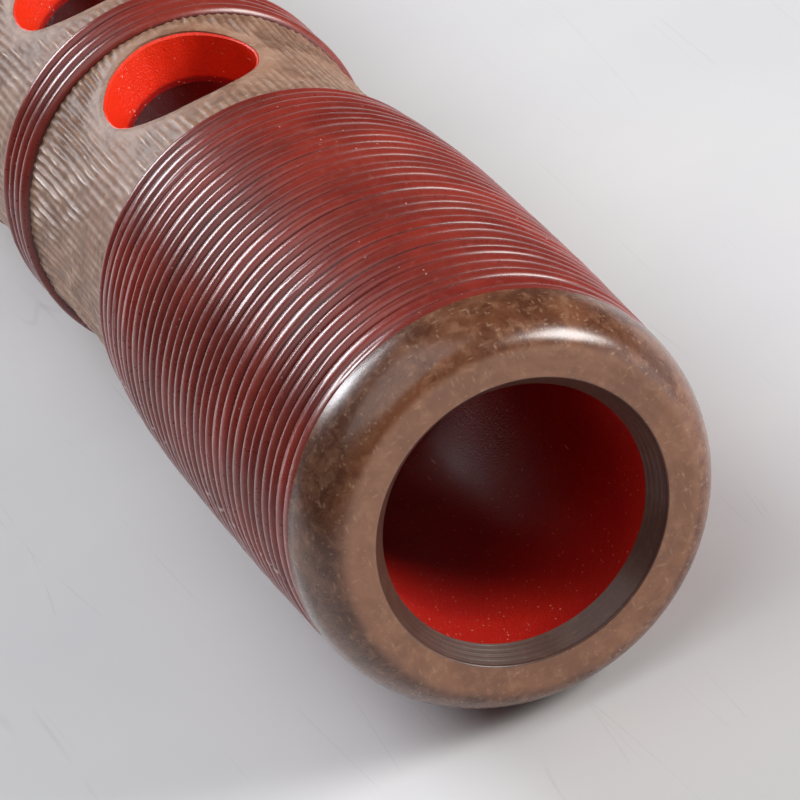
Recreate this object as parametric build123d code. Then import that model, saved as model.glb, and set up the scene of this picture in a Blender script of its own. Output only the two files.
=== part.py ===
from build123d import *
import math
import os

# A short end-blown pipe for a double reed, about 182 mm long: a tapered tube with seven
# finger holes in front and two thumb holes behind, red lacquer inside, and strand windings
# bound round it between the holes and at both ends.
# Row frame: the origin is the centre of the reed socket's mouth, +Y runs down the bore to the
# foot, and the front finger holes open along +Z. While modelling, y is measured from the mouth
# ring's end face, and every piece is shifted into the row frame when it is written.
# All lengths are in millimetres.

os.makedirs("parts", exist_ok=True)

# --- driving dimensions -------------------------------------------------------------------
pipe_length = 182.0
mouth_radius = 11.5          # outside of the mouth ring, where the upper winding starts
foot_radius = 8.75           # outside of the foot ring, where the foot winding ends
ring_length = 3.5            # both end rings, along the axis

# Windings: one strand, laid turn beside turn.
strand_pitch = 1.0
strand_depth = 0.75          # from the seat it lies on to its crest
groove_depth = 0.30          # from a crest down to the groove between two turns
upper_turns = 31
band_turns = 4
foot_turns = 34
seat_points = 9              # points along the curved seat of a long winding
band_spacing = 16.1          # from one hole winding to the next
band_count = 6
first_band_start = 48.0

# Crest of a long end winding over u, which runs from its ring (0) to its waist (1):
# ring radius + rise * (1 - (1 - u) ** end_power) + growth * u - drop * u ** end_power
end_power = 6
upper_rise = 0.26
upper_growth = -0.06
upper_drop = 0.78
foot_rise = 0.12
foot_growth = 0.50
foot_drop = 0.42

# Outside of the tube between the windings.
band_crest_radius = 10.65    # crest of the first hole winding
taper = 0.0148               # fall of the outer radius per millimetre, below the first one
waist_step = 0.50            # how far a winding's crest stands over the waist beside it
waist_hollow = 0.22          # how far a waist dips in its middle

# Bore and its lacquer.
lacquer_depth = 0.30         # in the bore
wall_lacquer_depth = 0.15    # on the walls of the holes
reed_socket_radius = 7.25
reed_socket_end = 20.0       # the bore is cylindrical down to here, then tapers
foot_bore_radius = 5.0
ring_recess = 1.15           # the lacquer and tube start this far inside each end ring
ring_flare = 0.73            # how much an end ring's bore widens over its recess
ring_wall_on_tenon = 2.2     # end ring's wall outside the tube's tenon
ring_flat_share = 0.40       # flat part of an end ring's face; the rest is rounded off
ring_lip = 0.15              # rounding of the edge of an end ring's bore

# Finger holes.
hole_half_length = 4.5       # first hole, along the axis
hole_half_width = 4.6        # first hole, across the pipe
hole_to_band = 5.5           # from a front hole's centre to the start of the next winding
front_hole_count = 7
thumb_hole_waists = (1, 4)   # counted from the mouth, 0 is the first waist
thumb_hole_scale = 0.9

tool_reach = 20.0            # longer than any wall that a tool body cuts


# --- outlines -----------------------------------------------------------------------------
def at(radius, y):
    """A profile point: X holds the radius, and the profile turns about Y."""
    return (radius, y)


def crest_line(y):
    """Crest radius of the windings between the holes, and the taper of the whole outside."""
    return band_crest_radius - taper * (y - first_band_start - band_turns * strand_pitch / 2)


def end_winding_crest(u, end_radius, rise, growth, drop):
    """Crest radius of a long end winding, from its ring (u = 0) to its waist (u = 1)."""
    return end_radius + rise * (1 - (1 - u) ** end_power) + growth * u - drop * u**end_power


upper_start = ring_length
upper_end = upper_start + upper_turns * strand_pitch
foot_end = pipe_length - ring_length
foot_start = foot_end - foot_turns * strand_pitch
band_starts = [first_band_start + i * band_spacing for i in range(band_count)]
band_length = band_turns * strand_pitch


def upper_crest(y):
    u = (y - upper_start) / (upper_end - upper_start)
    return end_winding_crest(u, mouth_radius, upper_rise, upper_growth, upper_drop)


def foot_crest(y):
    u = (foot_end - y) / (foot_end - foot_start)
    return end_winding_crest(u, foot_radius, foot_rise, foot_growth, foot_drop)


def revolve_profile(edges):
    return revolve(make_face(edges), Axis.Y, 360)


def tube_radius(y, foot_value, mouth_value):
    """Bore radius: constant down the reed socket, then a straight taper to the foot."""
    if y <= reed_socket_end:
        return mouth_value
    share = (y - reed_socket_end) / (pipe_length - reed_socket_end)
    return mouth_value + share * (foot_value - mouth_value)


lacquer_outer_mouth = reed_socket_radius + lacquer_depth
lacquer_outer_foot = foot_bore_radius + lacquer_depth
tube_start = ring_recess
tube_end = pipe_length - ring_recess
mouth_tenon_radius = mouth_radius - ring_wall_on_tenon
foot_tenon_radius = foot_radius - ring_wall_on_tenon * foot_radius / mouth_radius


def bore_solid(mouth_value, foot_value, start, end):
    """The solid that fills the bore between two stations."""
    foot_side = tube_radius(end, foot_value, mouth_value)
    outline = Polyline(
        at(0, start),
        at(mouth_value, start),
        at(mouth_value, reed_socket_end),
        at(foot_side, end),
        at(0, end),
        close=True,
    )
    return revolve_profile(outline)


# --- stations of the waists ---------------------------------------------------------------
waists = []
waist_start = upper_end
for start in [*band_starts, foot_start]:
    waists.append((waist_start, start))
    waist_start = start + band_length


def waist_arc(start, end):
    """The hollow outside of the tube between two windings."""
    middle = (start + end) / 2
    return ThreePointArc(
        at(crest_line(start) - waist_step, start),
        at(crest_line(middle) - waist_step - waist_hollow, middle),
        at(crest_line(end) - waist_step, end),
    )


def seat_line(crest, start, end, points=seat_points):
    """The seat that a winding lies on, strand_depth under its crests."""
    stations = [start + (end - start) * i / (points - 1) for i in range(points)]
    return [at(crest(y) - strand_depth, y) for y in stations]


def outer_solid():
    """The tube's outside as a full solid, from the mouth tenon to the foot tenon."""
    edges = []
    path = [at(0, tube_start), at(mouth_tenon_radius, tube_start), at(mouth_tenon_radius, upper_start)]
    path += seat_line(upper_crest, upper_start, upper_end)
    for index, (start, end) in enumerate(waists):
        arc = waist_arc(start, end)
        path.append(tuple(arc @ 0)[:2])
        edges.append(Polyline(*path))
        edges.append(arc)
        path = [tuple(arc @ 1)[:2]]
        if index < band_count:
            path += seat_line(crest_line, end, end + band_length, points=2)
    path += seat_line(foot_crest, foot_start, foot_end)
    path += [at(foot_tenon_radius, foot_end), at(foot_tenon_radius, tube_end), at(0, tube_end)]
    edges.append(Polyline(*path))
    edges.append(Line(at(0, tube_end), at(0, tube_start)))
    return revolve_profile(edges)


# --- finger and thumb holes ---------------------------------------------------------------
def hole_scale(y):
    return crest_line(y) / crest_line(waists[0][1] - hole_to_band)


def hole_tool(y, side, scale, inset):
    """An oval prism along +Z (side 1) or -Z (side -1), inset from the hole's bare wall."""
    size = hole_scale(y) * scale
    oval = Pos(0, y, 0) * Ellipse(hole_half_width * size - inset, hole_half_length * size - inset)
    return extrude(oval, side * tool_reach)


front_holes = [(end - hole_to_band, 1, 1.0) for start, end in waists[:front_hole_count]]
thumb_holes = [(sum(waists[i]) / 2, -1, thumb_hole_scale) for i in thumb_hole_waists]
holes = front_holes + thumb_holes


# --- pieces -------------------------------------------------------------------------------
def make_tube(outside):
    tube = outside - bore_solid(lacquer_outer_mouth, lacquer_outer_foot, tube_start, tube_end)
    for y, side, scale in holes:
        tube -= hole_tool(y, side, scale, inset=0)
    return tube


def make_lacquer(outside):
    """The red coat: a sleeve in the bore with a collar up the wall of each hole."""
    coat = bore_solid(lacquer_outer_mouth, lacquer_outer_foot, tube_start, tube_end)
    for y, side, scale in holes:
        coat += hole_tool(y, side, scale, inset=0) & outside
    coat -= bore_solid(reed_socket_radius, foot_bore_radius, tube_start, tube_end)
    for y, side, scale in holes:
        coat -= hole_tool(y, side, scale, inset=wall_lacquer_depth)
    return coat


def make_winding(crest, start, turns):
    """One winding: a sleeve on its seat, with a rounded ridge for each turn."""
    end = start + turns * strand_pitch
    edges = []
    for turn in range(turns):
        low = start + turn * strand_pitch
        high = low + strand_pitch
        middle = (low + high) / 2
        edges.append(
            ThreePointArc(
                at(crest(low) - groove_depth, low),
                at(crest(middle), middle),
                at(crest(high) - groove_depth, high),
            )
        )
    seat = seat_line(crest, start, end, points=seat_points if turns > band_turns else 2)
    inner = [at(crest(end) - groove_depth, end), *reversed(seat), at(crest(start) - groove_depth, start)]
    edges.append(Polyline(*inner))
    return revolve_profile(edges)


def make_end_ring(end_radius, tube_bore, tenon_radius):
    """A turned ring pushed on the tube's tenon, which covers the end of the tube.

    Its bore flares from the tube's bore to its face, and its outer corner is a quarter of an ellipse.
    """
    bore = tube_bore + ring_flare
    face = bore + (end_radius - bore) * ring_flat_share
    corner = EllipticalCenterArc(
        (face, ring_length),
        end_radius - face,
        ring_length,
        start_angle=-90,
        arc_size=90,
    )
    lip_middle = ring_lip * (1 - math.sqrt(0.5))
    mouth_lip = ThreePointArc(
        at(bore, ring_lip),
        at(bore + lip_middle, lip_middle),
        at(bore + ring_lip, 0),
    )
    flat = Line(at(bore + ring_lip, 0), at(face, 0))
    inside = Polyline(
        at(end_radius, ring_length),
        at(tenon_radius, ring_length),
        at(tenon_radius, ring_recess),
        at(tube_bore, ring_recess),
        at(bore, ring_lip),
    )
    return revolve_profile([mouth_lip, flat, corner, inside])


def main():
    outside = outer_solid()
    pieces = {
        "pipe_tube": make_tube(outside),
        "lacquer_lining": make_lacquer(outside),
        "mouth_ring": make_end_ring(mouth_radius, reed_socket_radius, mouth_tenon_radius),
        "upper_winding": make_winding(upper_crest, upper_start, upper_turns),
        "foot_winding": make_winding(foot_crest, foot_start, foot_turns),
    }
    foot_ring = make_end_ring(foot_radius, foot_bore_radius, foot_tenon_radius)
    pieces["foot_ring"] = Pos(0, pipe_length, 0) * mirror(foot_ring, Plane.XZ)
    for number, start in enumerate(band_starts, 1):
        pieces[f"hole_winding_{number}"] = make_winding(crest_line, start, band_turns)
    for name, piece in pieces.items():
        export_step(Pos(0, -ring_recess, 0) * piece, f"parts/{name}.step")


main()
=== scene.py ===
import math

import bmesh
import bpy
import numpy as np
from mathutils import Matrix, Vector


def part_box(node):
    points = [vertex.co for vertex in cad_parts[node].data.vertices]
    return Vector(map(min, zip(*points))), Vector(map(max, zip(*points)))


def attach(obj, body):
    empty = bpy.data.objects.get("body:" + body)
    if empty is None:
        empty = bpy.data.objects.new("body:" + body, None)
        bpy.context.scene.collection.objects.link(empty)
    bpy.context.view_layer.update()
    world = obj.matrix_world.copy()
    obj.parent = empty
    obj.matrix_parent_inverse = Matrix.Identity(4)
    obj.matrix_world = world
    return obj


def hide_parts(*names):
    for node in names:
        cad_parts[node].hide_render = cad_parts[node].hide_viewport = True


# The looks of a short double reed pipe: turned end rings in brown wood-filled resin, waists with
# tooled ridges, a red lacquer coat in the bore and the holes, and strand windings.
# Blender's unit is the metre. Shapes are worked out in millimetres and scaled as they are built.
MM = 0.001

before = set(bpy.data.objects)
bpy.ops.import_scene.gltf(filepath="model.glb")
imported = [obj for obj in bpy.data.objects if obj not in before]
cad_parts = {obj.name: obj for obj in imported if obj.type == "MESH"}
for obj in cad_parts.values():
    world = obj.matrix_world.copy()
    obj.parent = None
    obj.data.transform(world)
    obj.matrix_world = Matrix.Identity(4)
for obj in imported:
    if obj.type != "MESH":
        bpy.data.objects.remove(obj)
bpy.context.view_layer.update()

# --- driving dimensions, in millimetres ----------------------------------------------------
CREST_RADIUS = 10.65          # crest of the first hole winding
TAPER = 0.0148                # fall of the outside per millimetre towards the foot
WAIST_STEP = 0.50             # crest of a winding above the waist beside it
WAIST_HOLLOW = 0.22           # dip in the middle of a waist
STRAND_PITCH = 1.0
STRAND_DEPTH = 0.75           # from the seat to the crest
GROOVE_DEPTH = 0.33
END_POWER = 6                 # how sharply a long winding turns down at its ends
COAT = 0.30                   # lacquer in the bore
WALL_COAT = 0.15              # lacquer on the walls of the holes
SOCKET_RADIUS = 7.25
SOCKET_END = 18.85
FOOT_BORE_RADIUS = 5.0
HOLE_HALF_LENGTH = 4.5
HOLE_HALF_WIDTH = 4.6
HOLE_TO_WINDING = 5.5         # centre of a front hole to the next winding
THUMB_SCALE = 0.9
THUMB_WAISTS = (1, 4)
RIDGES_AROUND = 124           # tooled ridges on a waist
RING_WALL = 2.2               # mouth ring's wall outside the tube's tenon
FAR_OFF = 50.0                # stands for a distance that is too large to matter

# --- places, read from the frame -----------------------------------------------------------
BANDS = [f"hole_winding_{i}" for i in range(1, 7)]


def span(node):
    """Where a CAD node starts and ends along the pipe, in millimetres."""
    low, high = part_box(node)
    return low.y / MM, high.y / MM


def outer_radius(node):
    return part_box(node)[1].x / MM


MOUTH_FACE, UPPER_START = span("mouth_ring")
FOOT_FACE = span("foot_ring")[1]
UPPER_END = span("upper_winding")[1]
FOOT_START, FOOT_END = span("foot_winding")
MOUTH_RADIUS = outer_radius("mouth_ring")
FOOT_RADIUS = outer_radius("foot_ring")
MOUTH_TENON_RADIUS = MOUTH_RADIUS - RING_WALL
FOOT_TENON_RADIUS = FOOT_RADIUS - RING_WALL * FOOT_RADIUS / MOUTH_RADIUS
COAT_START, COAT_END = span("lacquer_lining")
FIRST_BAND_MIDDLE = sum(span(BANDS[0])) / 2

WAIST_STARTS = [UPPER_END] + [span(b)[1] for b in BANDS]
WAIST_ENDS = [span(b)[0] for b in BANDS] + [FOOT_START]
WAISTS = list(zip(WAIST_STARTS, WAIST_ENDS))


def crest_line(y):
    return CREST_RADIUS - TAPER * (y - FIRST_BAND_MIDDLE)


def end_crest(u, end_radius, rise, growth, drop):
    """Crest of a long end winding, from its ring (u = 0) to its waist (u = 1)."""
    return end_radius + rise * (1 - (1 - u) ** END_POWER) + growth * u - drop * u**END_POWER


def upper_crest(y):
    u = np.clip((y - UPPER_START) / (UPPER_END - UPPER_START), 0, 1)
    return end_crest(u, MOUTH_RADIUS, rise=0.26, growth=-0.06, drop=0.78)


def foot_crest(y):
    u = np.clip((FOOT_END - y) / (FOOT_END - FOOT_START), 0, 1)
    return end_crest(u, FOOT_RADIUS, rise=0.12, growth=0.50, drop=0.42)


def bore_radius(y):
    share = np.clip((y - SOCKET_END) / (FOOT_FACE - SOCKET_END), 0, 1)
    return SOCKET_RADIUS + share * (FOOT_BORE_RADIUS - SOCKET_RADIUS)


def waist_radius(y, start, end):
    """The smooth hollow of a waist, before its ridges are cut."""
    across = 2 * (y - start) / (end - start) - 1
    return crest_line(y) - WAIST_STEP - WAIST_HOLLOW * (1 - across**2)


def hole_scale(y):
    return crest_line(y) / crest_line(WAIST_ENDS[0] - HOLE_TO_WINDING)


# Each hole: its waist, its centre along the pipe, its side (+1 front, -1 back) and its size.
HOLES = []
for waist, (waist_start, waist_end) in enumerate(WAISTS):
    hole_y = waist_end - HOLE_TO_WINDING
    HOLES.append((waist, hole_y, 1, hole_scale(hole_y)))
for waist in THUMB_WAISTS:
    thumb_y = sum(WAISTS[waist]) / 2
    HOLES.append((waist, thumb_y, -1, THUMB_SCALE * hole_scale(thumb_y)))


# --- smooth random fields ------------------------------------------------------------------
class Field:
    """A smooth random value in space, near -1 to 1: plane waves about size millimetres long."""

    def __init__(self, seed, size, waves=24, stretch=(1.0, 1.0, 1.0)):
        rng = np.random.default_rng(seed)
        direction = rng.normal(size=(waves, 3))
        direction /= np.linalg.norm(direction, axis=1)[:, None]
        length = size * rng.uniform(0.7, 1.5, waves)
        self.wave = 2 * math.pi * direction / length[:, None] / np.array(stretch)
        self.phase = rng.uniform(0, 2 * math.pi, waves)

    def __call__(self, x, y, z):
        shape = np.broadcast(x, y, z).shape
        total = np.zeros(shape)
        for (kx, ky, kz), phase in zip(self.wave, self.phase):
            total += np.cos(kx * x + ky * y + kz * z + phase)
        return total * math.sqrt(2 / len(self.phase)) / 2


def smoothstep(low, high, value):
    t = np.clip((value - low) / (high - low), 0, 1)
    return t * t * (3 - 2 * t)


# --- meshes --------------------------------------------------------------------------------
def angles(segments):
    """Angles round the pipe: 0 is +Z, where the front holes are, and 90 degrees is +X."""
    return np.arange(segments) * 2 * math.pi / segments


def lathe(name, stations, radii, attributes=None):
    """A closed ring-shaped mesh. The rows are one loop: up the outside and back down the inside.

    stations and radii are (rows, segments) arrays, in millimetres.
    """
    rows, segments = radii.shape
    phi = angles(segments)[None, :]
    stations = np.broadcast_to(stations, radii.shape)
    points = np.stack([radii * np.sin(phi), stations, radii * np.cos(phi)], -1)
    row = np.arange(rows)[:, None]
    column = np.arange(segments)[None, :]
    next_row = (row + 1) % rows
    next_column = (column + 1) % segments
    quads = np.stack(
        [
            row * segments + column,
            row * segments + next_column,
            next_row * segments + next_column,
            next_row * segments + column,
        ],
        -1,
    ).reshape(-1, 4)
    mesh = bpy.data.meshes.new(name)
    mesh.vertices.add(rows * segments)
    mesh.vertices.foreach_set("co", (points * MM).astype(np.float32).ravel())
    mesh.loops.add(quads.size)
    mesh.loops.foreach_set("vertex_index", quads.astype(np.int32).ravel())
    mesh.polygons.add(len(quads))
    mesh.polygons.foreach_set("loop_start", np.arange(0, quads.size, 4, dtype=np.int32))
    mesh.update(calc_edges=True)
    for key, values in (attributes or {}).items():
        layer = mesh.attributes.new(key, "FLOAT", "POINT")
        spread = np.broadcast_to(values, radii.shape)
        layer.data.foreach_set("value", spread.astype(np.float32).ravel())
    mesh.validate()
    return mesh


def new_object(name, mesh):
    thing = bpy.data.objects.new(name, mesh)
    bpy.context.scene.collection.objects.link(thing)
    return thing


def shade(mesh, sharp_degrees):
    mesh.polygons.foreach_set("use_smooth", np.ones(len(mesh.polygons), bool))
    mesh.set_sharp_from_angle(angle=math.radians(sharp_degrees))


def finish_piece(piece, material, replaced, sharp_degrees=50):
    piece.data.materials.clear()
    piece.data.materials.append(material)
    shade(piece.data, sharp_degrees)
    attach(piece, "root")
    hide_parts(replaced)


def boolean(thing, tool, operation):
    """Give thing the result of the boolean as its mesh, and delete the tool."""
    modifier = thing.modifiers.new("cut", "BOOLEAN")
    modifier.operation = operation
    modifier.object = tool
    modifier.solver = "EXACT"
    graph = bpy.context.evaluated_depsgraph_get()
    mesh = bpy.data.meshes.new_from_object(thing.evaluated_get(graph))
    thing.modifiers.clear()
    old = thing.data
    name = old.name
    thing.data = mesh
    bpy.data.meshes.remove(old)
    mesh.name = name
    bpy.data.objects.remove(tool)


# --- holes ---------------------------------------------------------------------------------
HOLE_POINTS = 144
HOLE_EDGE = Field(11, 2.4)
HOLE_NICKS = Field(12, 0.9)
EDGE_WOBBLE = 0.035
NICK_WOBBLE = 0.02
BACK_OFFSET = 9.0             # sends front and back holes to different parts of the fields
PRISM_ROOT = 1.5              # a prism starts this far from the pipe's axis
PRISM_REACH = 16.0            # and ends outside the pipe, here
MOUTH_SPREAD = 0.02           # how far past the hole's own outline a flare opens


def hole_outline(y, side, scale, inset):
    """The oval of a hole seen along Z, as (x, y) points with the slight wobble of handwork."""
    turn = angles(HOLE_POINTS)
    x = HOLE_HALF_WIDTH * scale * np.sin(turn)
    along = HOLE_HALF_LENGTH * scale * np.cos(turn)
    place = (x, y + along, side * BACK_OFFSET)
    wobble = EDGE_WOBBLE * HOLE_EDGE(*place) + NICK_WOBBLE * HOLE_NICKS(*place)
    size = np.hypot(x, along)
    factor = (size - inset + wobble) / size
    return x * factor, y + along * factor


def hole_prisms(holes, inset, flare=None):
    """One object with an oval prism in each hole. A flare is how deep below the outside it opens out.

    Each level of a prism is a height and an inset. A height of 0 or less counts from the outside.
    """
    mesh = bmesh.new()
    for _, y, side, scale in holes:
        levels = [(PRISM_ROOT, inset), (PRISM_REACH, inset)]
        if flare:
            levels = [(PRISM_ROOT, inset), (-flare, inset)]
            levels += [(0.0, -MOUTH_SPREAD), (PRISM_REACH, -MOUTH_SPREAD)]
        rings = []
        for height, shrink in levels:
            x, along = hole_outline(y, side, scale, shrink)
            z = np.full_like(x, height)
            if height <= 0:
                z = height + np.sqrt((crest_line(along) - WAIST_STEP - WAIST_HOLLOW) ** 2 - x**2)
            corners = np.stack([x, along, side * z], -1) * MM
            rings.append([mesh.verts.new(corner) for corner in corners])
        for lower, upper in zip(rings, rings[1:]):
            for i in range(HOLE_POINTS):
                j = (i + 1) % HOLE_POINTS
                mesh.faces.new((lower[i], lower[j], upper[j], upper[i]))
        mesh.faces.new(rings[0])
        mesh.faces.new(rings[-1])
    bmesh.ops.recalc_face_normals(mesh, faces=mesh.faces)
    data = bpy.data.meshes.new("hole_prisms")
    mesh.to_mesh(data)
    mesh.free()
    return new_object("hole_prisms", data)


def edge_distance(x, y, z, hole):
    """Roughly how far a point on the outside is from a hole's edge, in millimetres."""
    _, centre, side, scale = hole
    across = x / (HOLE_HALF_WIDTH * scale)
    along = (y - centre) / (HOLE_HALF_LENGTH * scale)
    level = np.sqrt(across**2 + along**2)
    distance = (level - 1) * HOLE_HALF_LENGTH * scale
    return np.where(z * side > 0, distance, FAR_OFF)


# --- the tube ------------------------------------------------------------------------------
TUBE_SEGMENTS = 868
ROW_STEP = 0.22
RIDGE_WARP = Field(21, 9.0, stretch=(1.0, 2.0, 1.0))
RIDGE_WAVE = Field(22, 3.2, stretch=(1.0, 1.5, 1.0))
RIDGE_BREAK = Field(23, 1.5, stretch=(0.7, 1.6, 0.7))
GRAIN = Field(24, 0.55)
WRINKLE = Field(25, 1.3, stretch=(1.0, 0.6, 1.0))
SEAT_GAP = 0.01               # between the end of a seat and the waist beside it
SEAT_OVERLAP = 2.0            # two sections meet this far under the winding between them
BORE_ROWS = 12


def waist_surface(start, end, stations, phi):
    """Radius of a waist with its ridges, and how high each point lies on its ridge (0 to 1)."""
    base = waist_radius(stations, start, end)
    x, z = base * np.sin(phi), base * np.cos(phi)
    share = (stations - start) / (end - start)
    warp = 2.0 * RIDGE_WARP(x, stations, z) + 0.9 * RIDGE_WAVE(x, stations, z)
    wave = 0.5 + 0.5 * np.cos(RIDGES_AROUND * phi + warp)
    ridge = wave**1.5 * np.clip(0.70 + 0.55 * RIDGE_BREAK(x, stations, z), 0.05, 1.2)
    strength = 0.05 + 0.12 * smoothstep(0.15, 0.85, share)
    strength *= 0.55 + 0.45 * smoothstep(0.0, 0.06, 1 - share)
    rough = 0.022 * GRAIN(x, stations, z) + 0.03 * (1 - share) * WRINKLE(x, stations, z)
    clear = np.full_like(base, FAR_OFF)
    for hole in HOLES:
        if start < hole[1] < end:
            clear = np.minimum(clear, edge_distance(x, stations, z, hole))
    fade = smoothstep(0.25, 1.5, clear)
    lip = 0.06 * (1 - smoothstep(0.0, 0.30, clear))
    height = ridge * strength * fade
    radius = base + 0.02 + height - 0.5 * strength * fade + rough * (0.3 + 0.7 * fade) - lip
    return radius, np.clip(0.5 + 0.5 * fade * (ridge * 2 - 1), 0, 1)


def seat_crest(y):
    """Crest of whatever winding lies at y, which its seat in the tube follows."""
    return np.where(y < UPPER_END, upper_crest(y), np.where(y > FOOT_START, foot_crest(y), crest_line(y)))


def make_tube_section(index):
    """The tube from the middle of one winding to the middle of the next, with its holes."""
    start, end = WAISTS[index]
    first = index == 0
    last = index == len(WAISTS) - 1
    low = COAT_START if first else start - SEAT_OVERLAP
    high = COAT_END if last else end + SEAT_OVERLAP
    phi = angles(TUBE_SEGMENTS)[None, :]
    rows = max(8, round((end - start) / ROW_STEP))
    waist_rows = np.linspace(start, end, rows + 1)[:, None] + 0 * phi
    waist_radii, waist_height = waist_surface(start, end, waist_rows, phi)

    def seat(near, far, count):
        y = np.linspace(near, far, count)[:, None] + 0 * phi
        return y, seat_crest(y) - STRAND_DEPTH

    def tenon(near, far, radius):
        y = np.array([near, far])[:, None] + 0 * phi
        return y, np.full_like(y, radius)

    seat_rows = 9
    blocks = []
    if first:
        blocks.append(tenon(low, UPPER_START, MOUTH_TENON_RADIUS))
        blocks.append(seat(UPPER_START, start - SEAT_GAP, seat_rows))
    else:
        blocks.append(seat(low, start - SEAT_GAP, 2))
    rows_before_waist = sum(len(y) for y, _ in blocks)
    blocks.append((waist_rows, waist_radii))
    if last:
        blocks.append(seat(end + SEAT_GAP, FOOT_END, seat_rows))
        blocks.append(tenon(FOOT_END, high, FOOT_TENON_RADIUS))
    else:
        blocks.append(seat(end + SEAT_GAP, high, 2))
    inner_y = np.linspace(high, low, BORE_ROWS)[:, None] + 0 * phi
    blocks.append((inner_y, bore_radius(inner_y) + COAT))
    stations = np.concatenate([y for y, _ in blocks])
    radii = np.concatenate([radius for _, radius in blocks])
    height = np.full_like(radii, 0.5)
    height[rows_before_waist : rows_before_waist + len(waist_rows)] = waist_height
    name = f"tube_section_{index + 1}"
    piece = new_object(name, lathe(name, stations, radii, {"ridge": height}))
    boolean(piece, hole_prisms([h for h in HOLES if h[0] == index], inset=0.0), "DIFFERENCE")
    return piece


# --- the lacquer ---------------------------------------------------------------------------
LACQUER_SEGMENTS = 192
COLLAR_DROP = 0.07            # the collars end this far under the waists
COLLAR_GROWTH = 0.01          # they overlap the tube by this much
WALL_FLARE = 0.14             # rounding of a collar's outer edge


def spindle(name, stations, radii, segments=LACQUER_SEGMENTS):
    """A full solid of revolution about Y, closed by a flat disc at each end."""
    mesh = bmesh.new()
    rings = []
    phi = angles(segments)
    for y, radius in zip(stations, radii):
        corners = [(radius * math.sin(a) * MM, y * MM, radius * math.cos(a) * MM) for a in phi]
        rings.append([mesh.verts.new(corner) for corner in corners])
    for lower, upper in zip(rings, rings[1:]):
        for i in range(segments):
            j = (i + 1) % segments
            mesh.faces.new((lower[i], lower[j], upper[j], upper[i]))
    mesh.faces.new(rings[0])
    mesh.faces.new(rings[-1])
    bmesh.ops.recalc_face_normals(mesh, faces=mesh.faces)
    data = bpy.data.meshes.new(name)
    mesh.to_mesh(data)
    mesh.free()
    return new_object(name, data)


def make_lacquer():
    """The coat: a sleeve in the bore and a thin collar up the wall of each hole."""
    stations = np.array([COAT_START, SOCKET_END, COAT_END])
    coat = spindle("lacquer_coat", stations, bore_radius(stations) + COAT)
    start_radius = 8.0
    margin = 0.2
    outside_y, outside_r = [COAT_START], [start_radius]
    for start, end in WAISTS:
        y = np.linspace(start + margin, end - margin, 15)
        outside_y += list(y)
        outside_r += list(waist_radius(y, start, end) - COLLAR_DROP)
    outside = spindle("outside", outside_y, outside_r)
    collars = hole_prisms(HOLES, inset=-COLLAR_GROWTH)
    boolean(collars, outside, "INTERSECT")
    boolean(coat, collars, "UNION")
    air_y = np.array([COAT_START - 1.0, SOCKET_END, COAT_END + 1.0])
    boolean(coat, spindle("bore_air", air_y, bore_radius(air_y)), "DIFFERENCE")
    boolean(coat, hole_prisms(HOLES, inset=WALL_COAT, flare=WALL_FLARE), "DIFFERENCE")
    return coat


# --- windings ------------------------------------------------------------------------------
WINDING_SEGMENTS = 232
SAMPLES_PER_TURN = 12
FREE_DEPTH = 0.52             # how far the outer side of a winding's last turn comes down
TURN_DRIFT = Field(31, 16.0)
TURN_WAVE = Field(32, 5.0)
TURN_BREAK = Field(33, 3.0)
PARTING = Field(34, 0.8)
EDGE_JITTER = 0.085           # how far the border between two turns may be off its place
DRIFT = 0.05                  # how far it wanders on its way round
FULLNESS = 0.93               # 1 makes a turn's section half an ellipse, and less makes it flatter
CREASE_SHARE = 0.45           # share of the turns with a crease along them
CREASE_DEPTH = 0.045
PARTING_HEIGHT = 0.03
STRAND_INSET = 0.03           # keeps the wandering strand inside the real size


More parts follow.
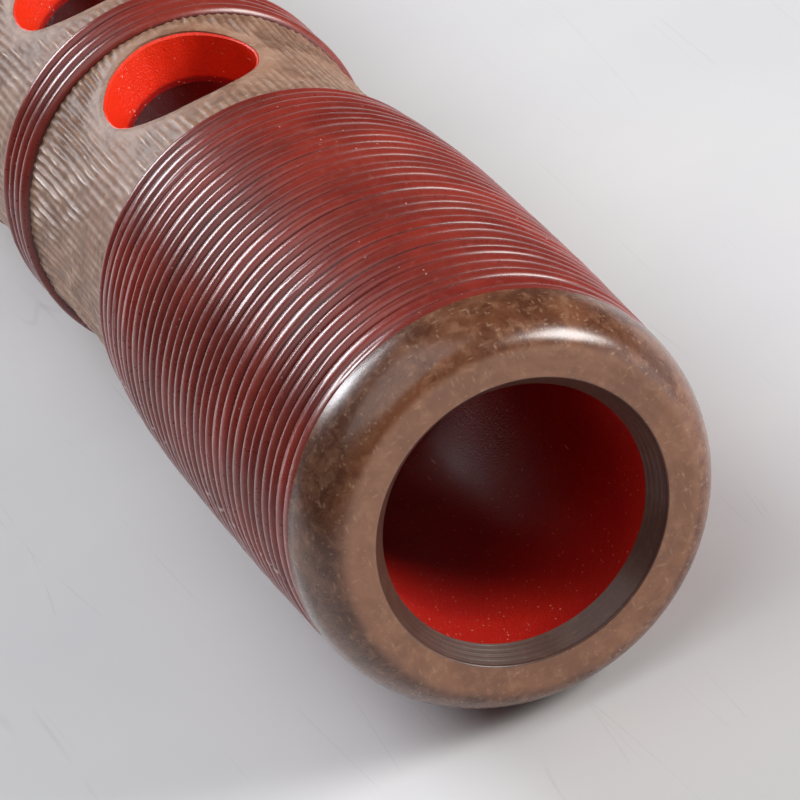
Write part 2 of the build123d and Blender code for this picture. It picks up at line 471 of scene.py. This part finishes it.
def make_winding(name, node, crest, soft_start=0, free_start=True, free_end=True):
    """A strand laid turn beside turn. No two turns are quite alike in width, height or edge.

    A free end stands beside a waist, so its last turn rounds off all the way down to it.
    """
    start, end = span(node)
    turns = round((end - start) / STRAND_PITCH)
    rng = np.random.default_rng(400 + round(start))
    edges = start + STRAND_PITCH * np.arange(turns + 1)
    edges[1:-1] += rng.uniform(-EDGE_JITTER, EDGE_JITTER, turns - 1)
    phi = angles(WINDING_SEGMENTS)
    x, z = 10 * np.sin(phi), 10 * np.cos(phi)
    drift = DRIFT * np.array([TURN_DRIFT(x, y * 3, z) + 0.6 * TURN_WAVE(x, y * 3, z) for y in edges])
    drift[0] = 0
    drift[-1] = 0
    borders = edges[:, None] + drift
    even = np.linspace(0, 1, SAMPLES_PER_TURN + 1)
    u = 0.55 * ((1 - np.cos(math.pi * even)) / 2) + 0.45 * even
    low_edge = math.sqrt(1 - FULLNESS)
    arch = (np.sqrt(1 - FULLNESS * (2 * u - 1) ** 2) - low_edge) / (1 - low_edge)
    station_rows, radius_rows, height_rows, turn_rows = [], [], [], []
    for turn in range(turns):
        near, far = borders[turn], borders[turn + 1]
        middle = (near + far) / 2
        depth = GROOVE_DEPTH * rng.uniform(0.72, 1.08)
        if turn < soft_start:
            depth *= 0.45 + 0.2 * turn
        low = 0.05 * rng.random()
        crease = rng.uniform(0.3, 0.7)
        crease_depth = CREASE_DEPTH if rng.random() < CREASE_SHARE else 0.0
        line = crease_depth * smoothstep(0.0, 0.5, TURN_BREAK(x, middle, z))
        last = turn == turns - 1
        shade_of_turn = rng.random()
        for k in range(SAMPLES_PER_TURN + (1 if last else 0)):
            y = near + (far - near) * u[k]
            slope = crest(y) - crest(middle)
            free = (free_start and turn == 0 and u[k] < 0.5) or (free_end and last and u[k] > 0.5)
            sag = (FREE_DEPTH if free else depth) * (1 - arch[k])
            notch = line * np.exp(-(((u[k] - crease) / 0.10) ** 2))
            parting = np.exp(-((z / 0.12) ** 2)) * PARTING_HEIGHT * np.maximum(0, PARTING(x, y, z))
            radius = crest(middle) + slope - sag - low - notch + parting * arch[k] - STRAND_INSET
            station_rows.append(y)
            radius_rows.append(radius)
            # crest feeds the strand material's painted shade; a crease lowers it by four times its depth, so
            # creases are painted darker too
            height_rows.append(np.full_like(y, arch[k]) - notch * 4)
            turn_rows.append(np.full_like(y, shade_of_turn))
    seat_lift = 0.005
    for y in np.linspace(end, start, 9):
        station_rows.append(np.full_like(phi, y))
        radius_rows.append(np.full_like(phi, float(crest(np.array(y))) - STRAND_DEPTH + seat_lift))
        height_rows.append(np.zeros_like(phi))
        turn_rows.append(np.zeros_like(phi))
    attributes = {"crest": np.array(height_rows), "turn": np.array(turn_rows)}
    return new_object(name, lathe(name, np.array(station_rows), np.array(radius_rows), attributes))


# --- end rings -----------------------------------------------------------------------------
RING_SEGMENTS = 256
RING_LENGTH = 3.5
RING_RECESS = 1.15            # depth of the flare in front of the tube and its lacquer
RING_FLARE = 0.73             # how much the ring's bore widens over its recess
RING_LIP = 0.15               # rounding of the edge of the ring's bore
RING_FLAT_SHARE = 0.40        # flat part of the ring's face; the rest is rounded off
FACE_WAVE = 0.02              # slight unevenness of the turned face
RING_WOBBLE_HEIGHT = 0.02     # and of the outside
RING_WOBBLE = Field(41, 9.0)


def make_ring(name, end_radius, tube_bore, tenon_radius, face, inward):
    """A turned and polished ring. Fine tool lines stay in its flared bore, which isn't polished."""
    bore = tube_bore + RING_FLARE
    flat_end = bore + (end_radius - bore) * RING_FLAT_SHARE
    rim = []
    for t in np.linspace(0, math.pi / 2, 7):
        rim.append((RING_LIP * (1 - math.sin(t)), bore + RING_LIP * (1 - math.cos(t))))
    flat = []
    for i, radius in enumerate(np.linspace(bore + RING_LIP, flat_end, 8)[1:-1]):
        flat.append((FACE_WAVE * math.sin(i + 1) ** 2, radius))
    outer = []
    for t in np.linspace(0, math.pi / 2, 25):
        outer.append((RING_LENGTH * (1 - math.cos(t)), flat_end + (end_radius - flat_end) * math.sin(t)))
    wall = []
    for y in np.linspace(RING_RECESS, RING_LIP + 0.02, 40):
        tool_line = 0.003 * math.sin(y * 26) + 0.002 * math.sin(y * 61 + 1.0)
        share = (RING_RECESS - y) / (RING_RECESS - RING_LIP)
        wall.append((y, tube_bore + RING_FLARE * share + tool_line))
    profile = rim + flat + outer + [(RING_LENGTH, tenon_radius), (RING_RECESS, tenon_radius)] + wall
    stations = np.array([p[0] for p in profile])[:, None]
    radii = np.array([p[1] for p in profile])[:, None]
    phi = angles(RING_SEGMENTS)[None, :]
    x, z = radii * np.sin(phi), radii * np.cos(phi)
    wobble = RING_WOBBLE_HEIGHT * RING_WOBBLE(x, stations, z) - RING_WOBBLE_HEIGHT
    outside = (radii > flat_end) & (stations < RING_LENGTH - 0.05) & (radii > tenon_radius + 0.3)
    radii = radii + wobble * outside
    y = face + inward * (stations + 0 * phi)
    if inward < 0:
        y, radii = y[::-1], radii[::-1]
    return new_object(name, lathe(name, y, radii))


# --- materials -----------------------------------------------------------------------------
class Surface:
    """A Principled material whose colour, roughness and bump are worked out by nodes."""

    def __init__(self, name):
        self.material = bpy.data.materials.new(name)
        self.material.use_nodes = True
        self.tree = self.material.node_tree
        self.shader = self.tree.nodes["Principled BSDF"]
        self.coordinates = self.tree.nodes.new("ShaderNodeTexCoord").outputs["Object"]

    def node(self, kind, **settings):
        made = self.tree.nodes.new(kind)
        for key, value in settings.items():
            setattr(made, key, value)
        return made

    def link(self, output, socket):
        self.tree.links.new(output, socket)

    def put(self, value, socket):
        """A number is set on the socket, and an output is linked to it."""
        if isinstance(value, bpy.types.NodeSocket):
            self.link(value, socket)
        else:
            socket.default_value = value

    def place(self, stretch=(1, 1, 1), turn=(0, 0, 0)):
        mapping = self.node("ShaderNodeMapping")
        mapping.inputs["Scale"].default_value = stretch
        mapping.inputs["Rotation"].default_value = [math.radians(a) for a in turn]
        self.link(self.coordinates, mapping.inputs["Vector"])
        return mapping.outputs["Vector"]

    def noise(self, size, detail=3.0, rough=0.55, distort=0.0, where=None):
        """Noise whose features are about size millimetres."""
        texture = self.node("ShaderNodeTexNoise")
        texture.inputs["Scale"].default_value = 1 / (size * MM)
        texture.inputs["Detail"].default_value = detail
        texture.inputs["Roughness"].default_value = rough
        texture.inputs["Distortion"].default_value = distort
        self.link(where or self.coordinates, texture.inputs["Vector"])
        return texture.outputs["Fac"]

    def specks(self, size, amount, where=None, soft=0.35, radius=0.30):
        """White on black: separate small flecks. amount is the share of cells that hold one."""
        cells = self.node("ShaderNodeTexVoronoi")
        cells.inputs["Scale"].default_value = 1 / (size * MM)
        cells.inputs["Randomness"].default_value = 1.0
        self.link(where or self.coordinates, cells.inputs["Vector"])
        chosen = self.node("ShaderNodeSeparateColor")
        self.link(cells.outputs["Color"], chosen.inputs["Color"])
        keep = self.step(chosen.outputs["Red"], 1 - amount, 1 - amount + 0.01)
        spot = self.step(cells.outputs["Distance"], radius, radius * (1 - soft))
        return self.math("MULTIPLY", keep, spot)

    def step(self, value, low, high):
        """0 below low and 1 above high, or the other way round if low is the larger."""
        ranged = self.node("ShaderNodeMapRange", interpolation_type="SMOOTHSTEP", clamp=True)
        flip = low > high
        self.put(value, ranged.inputs["Value"])
        ranged.inputs["From Min"].default_value = high if flip else low
        ranged.inputs["From Max"].default_value = low if flip else high
        ranged.inputs["To Min"].default_value = 1.0 if flip else 0.0
        ranged.inputs["To Max"].default_value = 0.0 if flip else 1.0
        return ranged.outputs["Result"]

    def math(self, operation, a, b=0.0):
        made = self.node("ShaderNodeMath", operation=operation)
        self.put(a, made.inputs[0])
        self.put(b, made.inputs[1])
        return made.outputs["Value"]

    def mix(self, share, a, b, blend="MIX"):
        made = self.node("ShaderNodeMix", data_type="RGBA", blend_type=blend)
        self.put(share, made.inputs[0])
        self.put(a if isinstance(a, bpy.types.NodeSocket) else (*a, 1.0), made.inputs[6])
        self.put(b if isinstance(b, bpy.types.NodeSocket) else (*b, 1.0), made.inputs[7])
        return made.outputs[2]

    def from_axis(self):
        """A place as a vector across the pipe, whose length is the radius, and as Y along it."""
        place = self.node("ShaderNodeSeparateXYZ")
        self.link(self.coordinates, place.inputs["Vector"])
        across = self.node("ShaderNodeCombineXYZ")
        self.link(place.outputs["X"], across.inputs["X"])
        self.link(place.outputs["Z"], across.inputs["Z"])
        return across.outputs["Vector"], place.outputs["Y"]

    def above_bore(self):
        """How far a point lies outside the bore's own surface, in metres."""
        across, along = self.from_axis()
        radius = self.node("ShaderNodeVectorMath", operation="LENGTH")
        self.link(across, radius.inputs[0])
        slope = (SOCKET_RADIUS - FOOT_BORE_RADIUS) / (FOOT_FACE - SOCKET_END)
        past_socket = self.math("MAXIMUM", self.math("SUBTRACT", along, SOCKET_END * MM), 0.0)
        bore = self.math("SUBTRACT", SOCKET_RADIUS * MM, self.math("MULTIPLY", past_socket, slope))
        return self.math("SUBTRACT", radius.outputs["Value"], bore)

    def outward(self):
        """1 where a surface faces away from the pipe's axis and -1 where it faces the axis."""
        across, along = self.from_axis()
        unit = self.node("ShaderNodeVectorMath", operation="NORMALIZE")
        self.link(across, unit.inputs[0])
        normal = self.node("ShaderNodeTexCoord").outputs["Normal"]
        dot = self.node("ShaderNodeVectorMath", operation="DOT_PRODUCT")
        self.link(unit.outputs["Vector"], dot.inputs[0])
        self.link(normal, dot.inputs[1])
        return dot.outputs["Value"]

    def attribute(self, name):
        made = self.node("ShaderNodeAttribute", attribute_name=name)
        return made.outputs["Fac"]

    def bump(self, height, distance, strength=1.0, after=None):
        made = self.node("ShaderNodeBump")
        made.inputs["Strength"].default_value = strength
        made.inputs["Distance"].default_value = distance * MM
        self.link(height, made.inputs["Height"])
        if after:
            self.link(after, made.inputs["Normal"])
        return made.outputs["Normal"]

    def finish(self, colour, roughness, normal=None, **settings):
        self.link(colour, self.shader.inputs["Base Color"])
        self.put(roughness, self.shader.inputs["Roughness"])
        if normal:
            self.link(normal, self.shader.inputs["Normal"])
        for key, value in settings.items():
            self.shader.inputs[key.replace("_", " ")].default_value = value
        return self.material


def srgb(red, green, blue):
    """A colour given as display values from 0 to 255."""

    def linear(c):
        c /= 255
        return c / 12.92 if c <= 0.04045 else ((c + 0.055) / 1.055) ** 2.4

    return linear(red), linear(green), linear(blue)


def mottled(s, dark, middle, pale):
    """Wood-filled resin: soft brown clouds with short pale fibres lying in every direction."""
    clouds = s.noise(3.2, detail=4, rough=0.6, distort=0.8)
    flecks = s.noise(0.75, detail=5, rough=0.7, distort=0.5)
    colour = s.mix(s.step(clouds, 0.38, 0.62), dark, middle)
    colour = s.mix(s.math("MULTIPLY", s.step(flecks, 0.46, 0.72), 0.75), colour, pale)
    directions = [
        ((20, 10, 0), (1, 0.25, 1)),
        ((75, 0, 40), (0.3, 1, 1)),
        ((0, 60, 80), (1, 1, 0.25)),
    ]
    for turn, stretch in directions:
        fibres = s.specks(0.30, 0.35, where=s.place(stretch, turn), soft=0.8)
        colour = s.mix(s.math("MULTIPLY", fibres, 0.26), colour, srgb(196, 166, 138))
    return colour, flecks


def ring_material():
    s = Surface("polished_resin")
    colour, flecks = mottled(s, srgb(84, 44, 24), srgb(112, 68, 44), srgb(142, 100, 74))
    normal = s.node("ShaderNodeSeparateXYZ")
    s.link(s.node("ShaderNodeTexCoord").outputs["Normal"], normal.inputs["Vector"])
    flat = s.step(s.math("ABSOLUTE", normal.outputs["Y"]), 0.90, 0.995)
    colour = s.mix(s.math("MULTIPLY", flat, 0.40), colour, srgb(150, 108, 84))
    # painted shade: surfaces facing the axis, the ring's flared bore and lip, are darkened to deep brown.
    # The same mask also makes them rougher, since they are not polished.
    inside = s.step(s.math("MULTIPLY", s.outward(), -1.0), 0.2, 0.5)
    colour = s.mix(s.math("MULTIPLY", inside, 0.85), colour, srgb(58, 30, 20))
    rough = s.math("ADD", s.math("MULTIPLY", flecks, 0.12), s.math("MULTIPLY", flat, 0.12))
    rough = s.math("ADD", s.math("ADD", rough, 0.22), s.math("MULTIPLY", inside, 0.26))
    grain = s.noise(0.22, detail=4, rough=0.7)
    return s.finish(colour, rough, s.bump(grain, 0.012, 0.6), Coat_Weight=0.35, Coat_Roughness=0.20)


def tube_material():
    s = Surface("tooled_resin")
    colour, flecks = mottled(s, srgb(132, 92, 70), srgb(166, 127, 104), srgb(190, 156, 134))
    ridge = s.attribute("ridge")
    # painted shade in the valleys between the tooled ridges, and a painted highlight on the ridge tops
    colour = s.mix(s.math("MULTIPLY", s.step(ridge, 0.45, 0.0), 0.45), colour, srgb(96, 68, 52))
    colour = s.mix(s.math("MULTIPLY", s.step(ridge, 0.6, 1.0), 0.22), colour, srgb(184, 160, 140))
    rust = s.noise(4.5, detail=2)
    colour = s.mix(s.math("MULTIPLY", s.step(rust, 0.50, 0.72), 0.45), colour, srgb(152, 100, 68))
    rough = s.math("ADD", s.math("MULTIPLY", flecks, 0.2), 0.46)
    rough = s.math("SUBTRACT", rough, s.math("MULTIPLY", s.step(ridge, 0.60, 0.95), 0.20))
    grain = s.noise(0.16, detail=4, rough=0.7)
    return s.finish(colour, rough, s.bump(grain, 0.03, 0.8), Coat_Weight=0.08, Coat_Roughness=0.30)


def lacquer_material():
    s = Surface("vermilion_lacquer")
    clouds = s.noise(6.0, detail=2)
    # painted shade: the lacquer in the bore gets a much darker red than the same lacquer on the walls of the
    # holes
    deep = s.mix(s.step(clouds, 0.35, 0.7), (0.37, 0.008, 0.005), (0.43, 0.012, 0.006))
    bright = s.mix(s.step(clouds, 0.35, 0.7), (0.92, 0.030, 0.006), (0.95, 0.040, 0.008))
    on_wall = s.step(s.above_bore(), 0.2 * MM, 0.5 * MM)
    colour = s.mix(on_wall, deep, bright)
    specks = s.specks(0.26, 0.20, soft=0.5, radius=0.22)
    strands = s.specks(0.45, 0.10, where=s.place((1, 0.16, 1), (30, 0, 50)), soft=0.5, radius=0.16)
    dust = s.math("MAXIMUM", specks, strands)
    colour = s.mix(s.math("MULTIPLY", dust, 0.85), colour, srgb(245, 170, 150))
    leather = s.noise(0.16, detail=2, rough=0.6, distort=1.2)
    grain = s.noise(0.5, detail=4, rough=0.7)
    rough = s.math("ADD", s.math("MULTIPLY", grain, 0.24), 0.26)
    normal = s.bump(leather, 0.05, 1.0, after=s.bump(grain, 0.03, 0.5))
    return s.finish(colour, rough, normal, Coat_Weight=0.04, Coat_Roughness=0.24)


def strand_material():
    s = Surface("lacquered_strand")
    crest = s.attribute("crest")
    turn = s.attribute("turn")
    drift = s.noise(5.0, detail=3)
    colour = s.mix(s.step(drift, 0.35, 0.65), srgb(116, 32, 23), srgb(142, 44, 32))
    colour = s.mix(s.math("MULTIPLY", turn, 0.35), colour, srgb(124, 52, 42))
    # painted shade: the grooves between turns and the creases along them are darkened almost to black-red
    colour = s.mix(s.math("MULTIPLY", s.step(crest, 0.62, 0.05), 0.92), colour, srgb(40, 12, 10))
    wear = s.noise(0.5, detail=4, rough=0.7)
    colour = s.mix(s.math("MULTIPLY", s.step(wear, 0.52, 0.75), 0.35), colour, srgb(160, 82, 70))
    dust = s.specks(0.30, 0.04, soft=0.6, radius=0.22)
    colour = s.mix(s.math("MULTIPLY", dust, 0.5), colour, srgb(210, 190, 180))
    place = s.node("ShaderNodeSeparateXYZ")
    s.link(s.coordinates, place.inputs["Vector"])
    seam = s.step(s.math("ABSOLUTE", place.outputs["Z"]), 0.16 * MM, 0.06 * MM)
    seam = s.math("MULTIPLY", seam, s.step(s.noise(0.6, detail=3), 0.52, 0.66))
    seam = s.math("MULTIPLY", seam, s.step(crest, 0.3, 0.9))
    colour = s.mix(s.math("MULTIPLY", seam, 0.8), colour, srgb(215, 190, 175))
    rough = s.math("ADD", s.math("MULTIPLY", wear, 0.16), 0.21)
    grain = s.noise(0.12, detail=3, rough=0.7)
    return s.finish(colour, rough, s.bump(grain, 0.006, 0.5), Coat_Weight=0.18, Coat_Roughness=0.22)


def floor_material():
    s = Surface("pale_table")
    cloud = s.noise(40, detail=4)
    colour = s.mix(s.step(cloud, 0.35, 0.65), srgb(219, 219, 221), srgb(226, 225, 225))
    for turn in ((0, 0, 20), (0, 0, 75), (0, 0, 140)):
        scratch = s.noise(9.0, detail=2, rough=0.3, where=s.place((1, 0.05, 1), turn))
        thin = s.step(s.math("ABSOLUTE", s.math("SUBTRACT", scratch, 0.5)), 0.0022, 0.0)
        kept = s.step(s.noise(12.0, detail=2), 0.50, 0.62)
        colour = s.mix(s.math("MULTIPLY", s.math("MULTIPLY", thin, kept), 0.16), colour, srgb(164, 162, 160))
    fine = s.noise(0.8, detail=4, rough=0.7)
    return s.finish(colour, 0.5, s.bump(fine, 0.01, 0.4))


# --- camera, floor and lights --------------------------------------------------------------
VIEW_AZIMUTH = -11.77
VIEW_ELEVATION = 30.22
VIEW_ROLL = -20.98
VIEW_DISTANCE = 0.35092
VIEW_AIM = Vector((-0.00271, 0.00359, 0.00701))
VIEW_LENS = 310.7


def backward(azimuth, elevation):
    """From the object towards something seen at that azimuth and elevation, in degrees."""
    a, e = math.radians(azimuth), math.radians(elevation)
    return Vector((math.sin(a) * math.cos(e), -math.cos(a) * math.cos(e), math.sin(e)))


def make_camera():
    data = bpy.data.cameras.new("camera")
    data.lens = VIEW_LENS
    data.sensor_width = 36.0
    data.clip_start = 0.01
    data.clip_end = 20.0
    camera = new_object("camera", data)
    back = backward(VIEW_AZIMUTH, VIEW_ELEVATION)
    turn = back.to_track_quat("Z", "Y").to_matrix().to_4x4()
    roll = Matrix.Rotation(math.radians(VIEW_ROLL), 4, "Z")
    camera.matrix_world = Matrix.Translation(VIEW_AIM + back * VIEW_DISTANCE) @ turn @ roll
    bpy.context.scene.camera = camera


def make_floor():
    """The table, tilted so that both end windings rest on it."""
    head_y = UPPER_START + 9.0
    foot_y = FOOT_START + 16.0
    head_low = float(upper_crest(np.array(head_y)))
    foot_low = float(foot_crest(np.array(foot_y)))
    slope = (head_low - foot_low) / (foot_y - head_y)
    mesh = bmesh.new()
    bmesh.ops.create_grid(mesh, x_segments=8, y_segments=8, size=6.0)
    data = bpy.data.meshes.new("table_top")
    mesh.to_mesh(data)
    mesh.free()
    data.materials.append(floor_material())
    floor = new_object("table_top", data)
    floor.rotation_euler = (math.atan(slope), 0, 0)
    clearance = 0.02
    floor.location = (0, 0, -(head_low + clearance + slope * head_y) * MM)


def softbox(name, azimuth, elevation, distance, width, height, power, colour):
    data = bpy.data.lights.new(name, "AREA")
    data.shape = "RECTANGLE"
    data.size = width
    data.size_y = height
    data.energy = power
    data.color = colour
    lamp = new_object(name, data)
    back = backward(azimuth, elevation)
    lamp.location = back * distance
    lamp.rotation_mode = "QUATERNION"
    lamp.rotation_quaternion = back.to_track_quat("Z", "Y")
    lamp.visible_camera = False


def make_lights():
    # Name, azimuth, elevation, distance, width, height, power and colour.
    softbox("key", 58, 23, 0.9, 0.40, 0.34, 8.8, (1.0, 0.985, 0.96))
    softbox("window", -161, 28, 0.9, 0.36, 0.24, 5.2, (0.92, 0.95, 1.0))
    softbox("overhead", -60, 72, 1.2, 1.2, 1.2, 6.2, (0.98, 0.99, 1.0))
    world = bpy.data.worlds.new("room")
    bpy.context.scene.world = world
    world.use_nodes = True
    background = world.node_tree.nodes["Background"]
    background.inputs["Color"].default_value = (0.95, 0.97, 1.0, 1.0)
    background.inputs["Strength"].default_value = 0.10
    bpy.context.scene.view_settings.view_transform = "Standard"


# --- build ---------------------------------------------------------------------------------
def build():
    ring = ring_material()
    tube = tube_material()
    strand = strand_material()
    for index in range(len(WAISTS)):
        finish_piece(make_tube_section(index), tube, "pipe_tube", sharp_degrees=40)
    finish_piece(make_lacquer(), lacquer_material(), "lacquer_lining", sharp_degrees=35)
    mouth = make_ring("ring_at_mouth", MOUTH_RADIUS, SOCKET_RADIUS, MOUTH_TENON_RADIUS, MOUTH_FACE, 1)
    finish_piece(mouth, ring, "mouth_ring", sharp_degrees=40)
    foot = make_ring("ring_at_foot", FOOT_RADIUS, FOOT_BORE_RADIUS, FOOT_TENON_RADIUS, FOOT_FACE, -1)
    finish_piece(foot, ring, "foot_ring", sharp_degrees=40)
    upper = make_winding("strand_upper", "upper_winding", upper_crest, soft_start=2, free_start=False)
    finish_piece(upper, strand, "upper_winding", sharp_degrees=75)
    lower = make_winding("strand_foot", "foot_winding", foot_crest, free_end=False)
    finish_piece(lower, strand, "foot_winding", sharp_degrees=75)
    for number, node in enumerate(BANDS, 1):
        band = make_winding(f"strand_band_{number}", node, crest_line)
        finish_piece(band, strand, node, sharp_degrees=75)


make_camera()
make_floor()
make_lights()
build()
